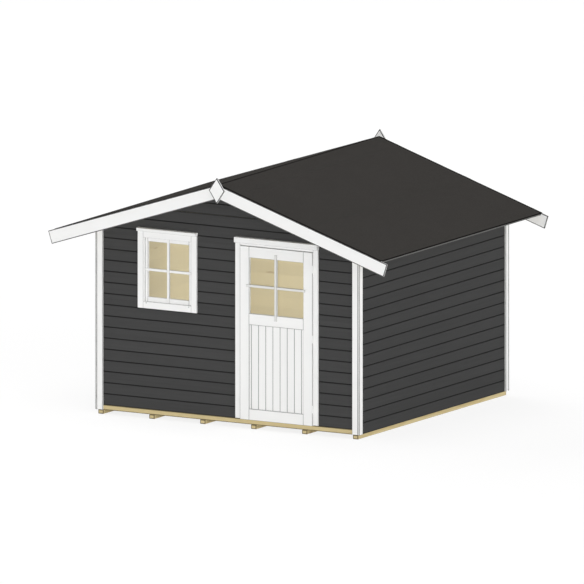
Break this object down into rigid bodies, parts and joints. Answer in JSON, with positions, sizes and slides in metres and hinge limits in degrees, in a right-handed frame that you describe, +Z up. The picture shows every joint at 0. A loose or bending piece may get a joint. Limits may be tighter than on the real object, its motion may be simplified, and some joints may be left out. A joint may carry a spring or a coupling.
{
  "type": "wooden garden house",
  "caption": "Timber garden house with a low gable roof, deep front overhang, a fixed cross-barred window and a half-glazed hinged door.",
  "frame": {"origin": "on the ground, below the middle of the whole house's box", "axes": "+X along the front from left to right, +Y from the front to the back, +Z up"},
  "size_m": [4.146, 3.472, 2.7104],
  "materials": {
    "white_paint": "white opaque paint, satin, on planed boards",
    "grey_paint": "dark grey opaque wood stain on tongued boards",
    "roofing_felt": "dry bituminous roofing felt with mineral grit",
    "raw_pine": "untreated planed pine",
    "window_glass": "clear float glass",
    "hinge_steel": "white painted steel"
  },
  "bodies": {
    "house": {"joist_1": "raw_pine", "joist_2": "raw_pine", "joist_3": "raw_pine", "joist_4": "raw_pine", "joist_5": "raw_pine", "joist_6": "raw_pine", "floor_beam_front": "raw_pine", "floor_beam_back": "raw_pine", "floor": "raw_pine", "front_wall_left": "grey_paint", "front_wall_right": "grey_paint", "front_gable": "grey_paint", "back_wall": "grey_paint", "left_wall": "grey_paint", "right_wall": "grey_paint", "corner_front_left": "white_paint", "corner_front_right": "white_paint", "corner_back_left": "white_paint", "corner_back_right": "white_paint", "ridge_purlin": "raw_pine", "side_purlins": "raw_pine", "roof_boards_left": "raw_pine", "roof_boards_right": "raw_pine", "roof_felt_left": "roofing_felt", "roof_felt_right": "roofing_felt", "barge_front_left": "white_paint", "barge_front_right": "white_paint", "barge_back_left": "white_paint", "barge_back_right": "white_paint", "finial_front": "white_paint", "finial_back": "white_paint", "window_frame": "white_paint", "window_sash": "white_paint", "window_glass": "window_glass", "window_bars": "white_paint", "window_side_trims": "white_paint", "window_cross_trims": "white_paint", "window_cap": "white_paint", "door_jambs": "white_paint", "door_head": "white_paint", "door_side_trims": "white_paint", "door_head_trim": "white_paint", "door_cap": "white_paint", "hinge_frame_halves": "hinge_steel"},
    "door": {"door_leaf": "white_paint", "door_panel": "white_paint", "door_glass": "window_glass", "door_bars": "white_paint", "hinge_leaf_halves": "hinge_steel"}
  },
  "joints": [
    {"name": "door_hinge", "type": "hinge", "parent": "house", "child": "door", "pos_m": [1.0445, -1.5195, 1.0305], "axis": [0, 0, 1], "range_deg": [0, 110]}
  ]
}
